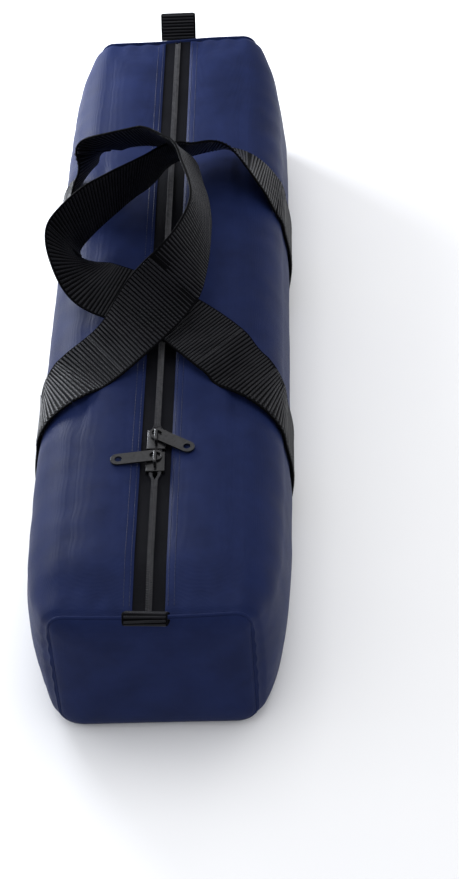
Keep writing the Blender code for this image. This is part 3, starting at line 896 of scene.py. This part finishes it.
def handle_pieces(side, sign, table):
    """A loop and its two roots, each made as its own strap."""
    near = [(p, -w) for p, w in half_run("near", sign)]
    far = [(p, w * -sign) for p, w in half_run("far", sign)]
    first, last = STRAP_RUNS["near"][3], STRAP_RUNS["far"][3]
    places = near[first::-2] + [(Vector(p), Vector(w)) for p, w in table] + [far[last]]
    frames = strap_frames([p for p, _ in places], [w for _, w in places], HANDLE_GAP, near[first + 2], far[last + 2])
    ends = round(NEAR_ROOT / HANDLE_GAP), len(frames) - 1 - round(FAR_ROOT / HANDLE_GAP)
    middle = frames[ends[0]:ends[1] + 1]
    loop = webbing(f"{side}_handle_webbing", middle, WEB_WIDTH, WEB_THICK)

    def free_share(s, total):
        return ease(s / LOOP_BEND) * ease((total - s) / LOOP_BEND)

    bends(loop, free_share, [f[0] for f in middle])
    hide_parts(f"{side}_handle")
    sewn = (near[0][0] - near[first][0]).length
    for label, part, skip in (("near", frames[:ends[0] + 1], sewn), ("far", frames[ends[1]:][::-1], 0.0)):
        root = webbing(f"{side}_{label}_handle_root", part, WEB_WIDTH, WEB_THICK)
        share = partial(lid_share, skip)
        bends(root, share, [f[0] for f in part])
    return len(frames) * HANDLE_GAP


HANDLE_GAP, NEAR_ROOT, FAR_ROOT, LOOP_BEND = 0.0030, 0.045, 0.042, 0.035
for side, sign, table in (("left", -1, LEFT_HANDLE), ("right", 1, RIGHT_HANDLE)):
    print(side, "handle length with its roots", round(handle_pieces(side, sign, table), 3))

# %% [markdown]
# ## End tabs
# A short piece of narrower webbing is folded in half and caught in the seam where the zip ends. It gives
# the hand something to hold while the zip is pulled.

# %% End tabs
TAB_WIDTH, TAB_LENGTH, TAB_RISE, TAB_BEND = 0.032, 0.025, math.radians(44), 0.0038


def end_tab(label, sign):
    tip = TAB_LENGTH - TAB_BEND - WEB_THICK / 2
    upper = [(0.0, TAB_BEND * 0.6), (tip * 0.5, TAB_BEND * 0.9)]
    loop = upper + turned((tip, 0), TAB_BEND, 75, -75, 6) + [(a, -b) for a, b in reversed(upper)]
    root = Vector((0, END_Y - 0.0020 + (TAB_BEND + WEB_THICK) * math.sin(TAB_RISE) * 0.7, TOP_Z - 0.0016))
    along = Vector((0, math.cos(TAB_RISE), math.sin(TAB_RISE)))
    across = Vector((0, -math.sin(TAB_RISE), math.cos(TAB_RISE)))
    centres = []
    for a, b in loop:
        p = root + along * a + across * b
        centres.append(Vector((p.x, sign * p.y, p.z)))
    across = Vector((1, 0, -0.06 if sign < 0 else 0.0)).normalized()
    frames = strap_frames(centres, [across] * len(centres), 0.0013)
    tab = webbing(f"{label}_tab_webbing", frames, TAB_WIDTH, WEB_THICK)
    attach(tab, "case")
    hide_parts(f"{label}_end_tab")


end_tab("near", -1)
end_tab("far", 1)

# %% [markdown]
# ## Zip
# The tape is a flat woven band sewn under the folded edges of the cloth. Its coil is a spiral of nylon
# whose turns show as small slanted teeth, one half's between the other's. Near the sliders the two
# halves are pushed apart by the sliders' wedges.

# %% Zip tape and thread
DIVIDER = 0.0021
TAPE_HALF, TAPE_THICK = 0.0215, 0.0008


def zip_gap(y):
    reach = 0.011
    off = max(SLIDERS[0] - reach - y, y - SLIDERS[1] - reach, 0.0)
    return 0.0002 + DIVIDER * ease(1 - off / 0.007)


def top_height(x, y):
    """Height of the top cloth at a place beside the zip."""
    points = outer_top(y)[2:]
    before, after = next((b, c) for b, c in zip(points, points[1:]) if b[0] <= x <= c[0])
    return before[1] + (after[1] - before[1]) * (x - before[0]) / (after[0] - before[0])


zip_reach = END_Y - 0.0040
for side, sign in (("left", -1), ("right", 1)):
    rings = []
    steps = 230
    for i in range(steps + 1):
        y = -zip_reach + 2 * zip_reach * i / steps
        inner = zip_gap(y)
        under = [(inner, TAPE_TOP - TAPE_THICK), (TAPE_HALF, TAPE_TOP - TAPE_THICK)]
        ring = under + [(TAPE_HALF, TAPE_TOP), (0.0105, TAPE_TOP), (0.0060, TAPE_TOP + 0.00015), (inner, TAPE_TOP)]
        rings.append([settled(sign * x, y, z) for x, z in ring])
    tape = link(f"{side}_tape", loft(rings), [TAPE])
    follow_lid(tape)
    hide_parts(f"{side}_zip_tape")
    rows = []
    for x in (ZIP_EDGE_X + 0.0016, ZIP_EDGE_X + 0.0060):
        line = []
        for i in range(120):
            y = -(END_Y - 0.012) + 2 * (END_Y - 0.012) * i / 119
            moved = puffed(x, y, top_height(x, y), x)
            line.append(Vector(settled(sign * moved[0], y, moved[2] + 0.00005)))
        rows.append(line)
    thread = stitches(f"{side}_zip_stitching", rows, 0.0034, 0.0024, 0.0005, THREAD)
    follow_lid(thread)
print("tape runs to", round(zip_reach, 4))

# %% Zip teeth
TOOTH_PITCH = 0.0020
TOOTH_LEAN = 0.36


def teeth(side, sign):
    places = []
    count = int(2 * (zip_reach - 0.004) / TOOTH_PITCH)
    for i in range(count):
        y = -(zip_reach - 0.004) + TOOTH_PITCH * (i + (0.5 if side == "right" else 0.0))
        x = zip_gap(y) + 0.0009
        places.append((Vector(settled(sign * x, y, COIL_TOP - 0.0011)), Vector((0, 1, 0)), Vector((1, 0, 0))))
    row = bars(f"{side}_teeth", places, COIL, length=0.0007, width=0.0026, height=0.0021, slant=sign * TOOTH_LEAN, sides=8)
    spine, around = [], [math.tau * k / 8 for k in range(8)]
    for i in range(151):
        y = -(zip_reach - 0.002) + 2 * (zip_reach - 0.002) * i / 150
        x = zip_gap(y) + 0.0021
        ring = [(x + 0.0005 * math.cos(a), COIL_TOP - 0.0017 + 0.0007 * math.sin(a)) for a in around]
        spine.append([settled(sign * px, y, pz) for px, pz in ring])
    cord = link(f"{side}_coil_edge", loft(spine), [TAPE])
    join_into(row, [cord])
    row.name = f"{side}_coil"
    follow_lid(row)
    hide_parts(f"{side}_zip_coil")
    return count


print("teeth on each half:", [teeth(side, sign) for side, sign in (("left", -1), ("right", 1))])

# %% [markdown]
# ## Sliders and pulls
# These are small zinc castings. The frame's own solids have the right shape, so each is copied, merged
# into a clean mesh and given rounded edges. Rounded edges are what catches the light on lacquer.

# %% Sliders, crowns and pulls


def softened(node, name, body, radius, segments=3):
    """A copy of a frame solid with its edges rounded over."""
    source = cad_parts[node].data
    mesh = bmesh.new()
    mesh.from_mesh(source)
    bmesh.ops.remove_doubles(mesh, verts=mesh.verts, dist=0.00001)
    bmesh.ops.dissolve_limit(mesh, angle_limit=math.radians(2), verts=mesh.verts, edges=mesh.edges)
    data = bpy.data.meshes.new(name)
    mesh.to_mesh(data)
    mesh.free()
    data.materials.clear()
    data.materials.append(METAL)
    data.shade_smooth()
    data.set_sharp_from_angle(angle=math.radians(60))
    thing = bpy.data.objects.new(name, data)
    bpy.context.scene.collection.objects.link(thing)
    edge = thing.modifiers.new("rounded edges", "BEVEL")
    edge.width = radius
    edge.segments = segments
    edge.limit_method = "ANGLE"
    edge.angle_limit = math.radians(35)
    edge.use_clamp_overlap = True
    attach(thing, body)
    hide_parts(node)
    return thing


for end in ("near", "far"):
    softened(f"{end}_slider_body", f"{end}_slider", f"{end}_slider", 0.00045)
    softened(f"{end}_slider_crown", f"{end}_crown", f"{end}_slider", 0.0007)
    softened(f"{end}_pull", f"{end}_pull_tab", f"{end}_pull", 0.00035)
print("metal pieces:", 6)

# %% [markdown]
# ## Inside binding
# Inside the case a strip of tape covers each raw seam where an end panel meets the walls. It shows when
# the top is folded back.

# %% Inside binding
for label, sign in (("near", -1), ("far", 1)):
    low, high = (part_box(f"{label}_seam_binding")[i].y for i in (0, 1))
    rings = []
    for y in (low, low + 0.001, (low + high) / 2, high - 0.001, high):
        swell = 0.0004 if low < y < high else 0.0
        right = under_top(y, WALL + 0.0004 + swell)
        back = under_top(y, WALL + 0.0001)
        outline = right[:-1] + [(0.0, right[-1][1])] + [(-x, z) for x, z in reversed(right[:-1])]
        under = back[:-1] + [(0.0, back[-1][1])] + [(-x, z) for x, z in reversed(back[:-1])]
        rings.append([(x, y, z) for x, z in outline + under[::-1]])
    binding = link(f"{label}_inside_binding", loft(rings), [TAPE])
    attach(binding, "case")
    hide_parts(f"{label}_seam_binding")
print("bindings placed")
